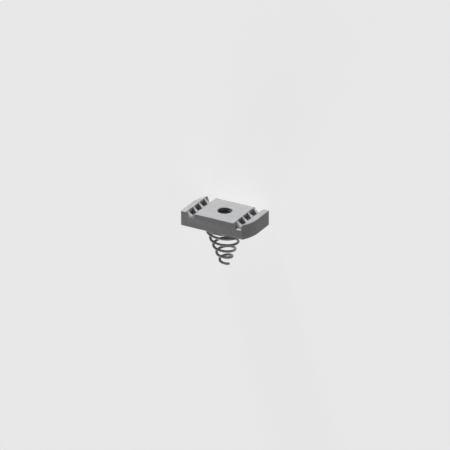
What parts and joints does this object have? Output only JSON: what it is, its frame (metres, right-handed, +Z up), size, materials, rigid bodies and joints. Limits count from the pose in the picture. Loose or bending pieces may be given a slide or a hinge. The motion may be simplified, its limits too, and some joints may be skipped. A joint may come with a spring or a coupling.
{
  "type": "strut spring nut",
  "caption": "Spring nut for slotted strut channel: a threaded steel block with toothed lip grooves, trimmed corners and a conical coil spring on its back face.",
  "frame": {"origin": "centre of the thread's mouth, in the plane of the toothed face", "axes": "-Y out of the toothed face along the thread axis, +Y towards the spring's tip, X along the block's length across the channel slot, +Z up along the block's width; the block lies on its long flat side"},
  "size_m": [0.0348, 0.0268, 0.0194],
  "materials": {
    "zinc_steel": "zinc plated, satin",
    "spring_wire": "drawn spring wire, plain"
  },
  "bodies": {
    "root": {"nut_body": "zinc_steel", "spring": "spring_wire"}
  },
  "joints": []
}
